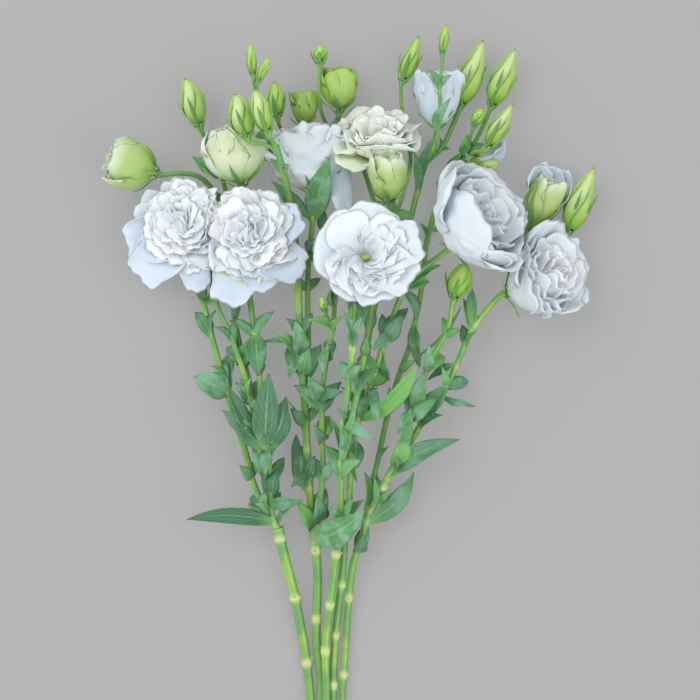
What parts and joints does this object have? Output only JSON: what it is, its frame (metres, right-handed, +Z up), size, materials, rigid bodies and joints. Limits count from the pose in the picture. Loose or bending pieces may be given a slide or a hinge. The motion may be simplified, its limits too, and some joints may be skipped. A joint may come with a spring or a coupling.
{
  "type": "lisianthus bunch",
  "caption": "Loose bunch of cut double lisianthus stems lying flat, with ruffled white blooms, green buds and paired leaves.",
  "frame": {"origin": "underside of the rear stem near its cut end, where it lies on the surface", "axes": "+Y along the stems from the cut ends to the flowers, +Z up from the surface, +X to the right as seen from above"},
  "size_m": [0.3237, 0.4621, 0.0942],
  "materials": {
    "stem_green": "satin, faintly waxy",
    "petal_white": "soft matt",
    "petal_cream": "soft matt",
    "bud_green": "soft satin",
    "pistil": "satin"
  },
  "bodies": {
    "root": {"stem_left": "stem_green", "stem_rear": "stem_green", "stem_centre": "stem_green", "stem_middle": "stem_green", "stem_right": "stem_green", "bloom_ruffled_left": "petal_white", "bloom_ruffled_right": "petal_white", "bloom_centre": "petal_white", "bloom_upper": "petal_cream", "bloom_rear": "petal_white", "bloom_right": "petal_white", "bloom_far_right": "petal_white", "bloom_half_open": "petal_white", "bloom_unfurling": "petal_cream", "pistil_ruffled_left": "pistil", "pistil_centre": "pistil", "bud_split_right": "petal_white", "bud_far_left": "bud_green", "bud_round": "petal_cream", "bud_round_top": "bud_green", "bud_centre": "bud_green", "bud_flat_top": "bud_green", "bud_upper_left": "bud_green", "bud_behind_left": "bud_green", "bud_slim_left": "bud_green", "bud_small_green": "bud_green", "bud_tip_left": "bud_green", "bud_tip_left_side": "bud_green", "bud_star": "bud_green", "bud_ball": "bud_green", "bud_pointed_top": "bud_green", "bud_tip_right": "bud_green", "bud_striped": "bud_green", "bud_tall_right": "bud_green", "bud_lean_right": "bud_green", "bud_ball_right": "bud_green", "bud_leaf_shaped": "bud_green", "bud_drop": "bud_green"}
  },
  "joints": []
}
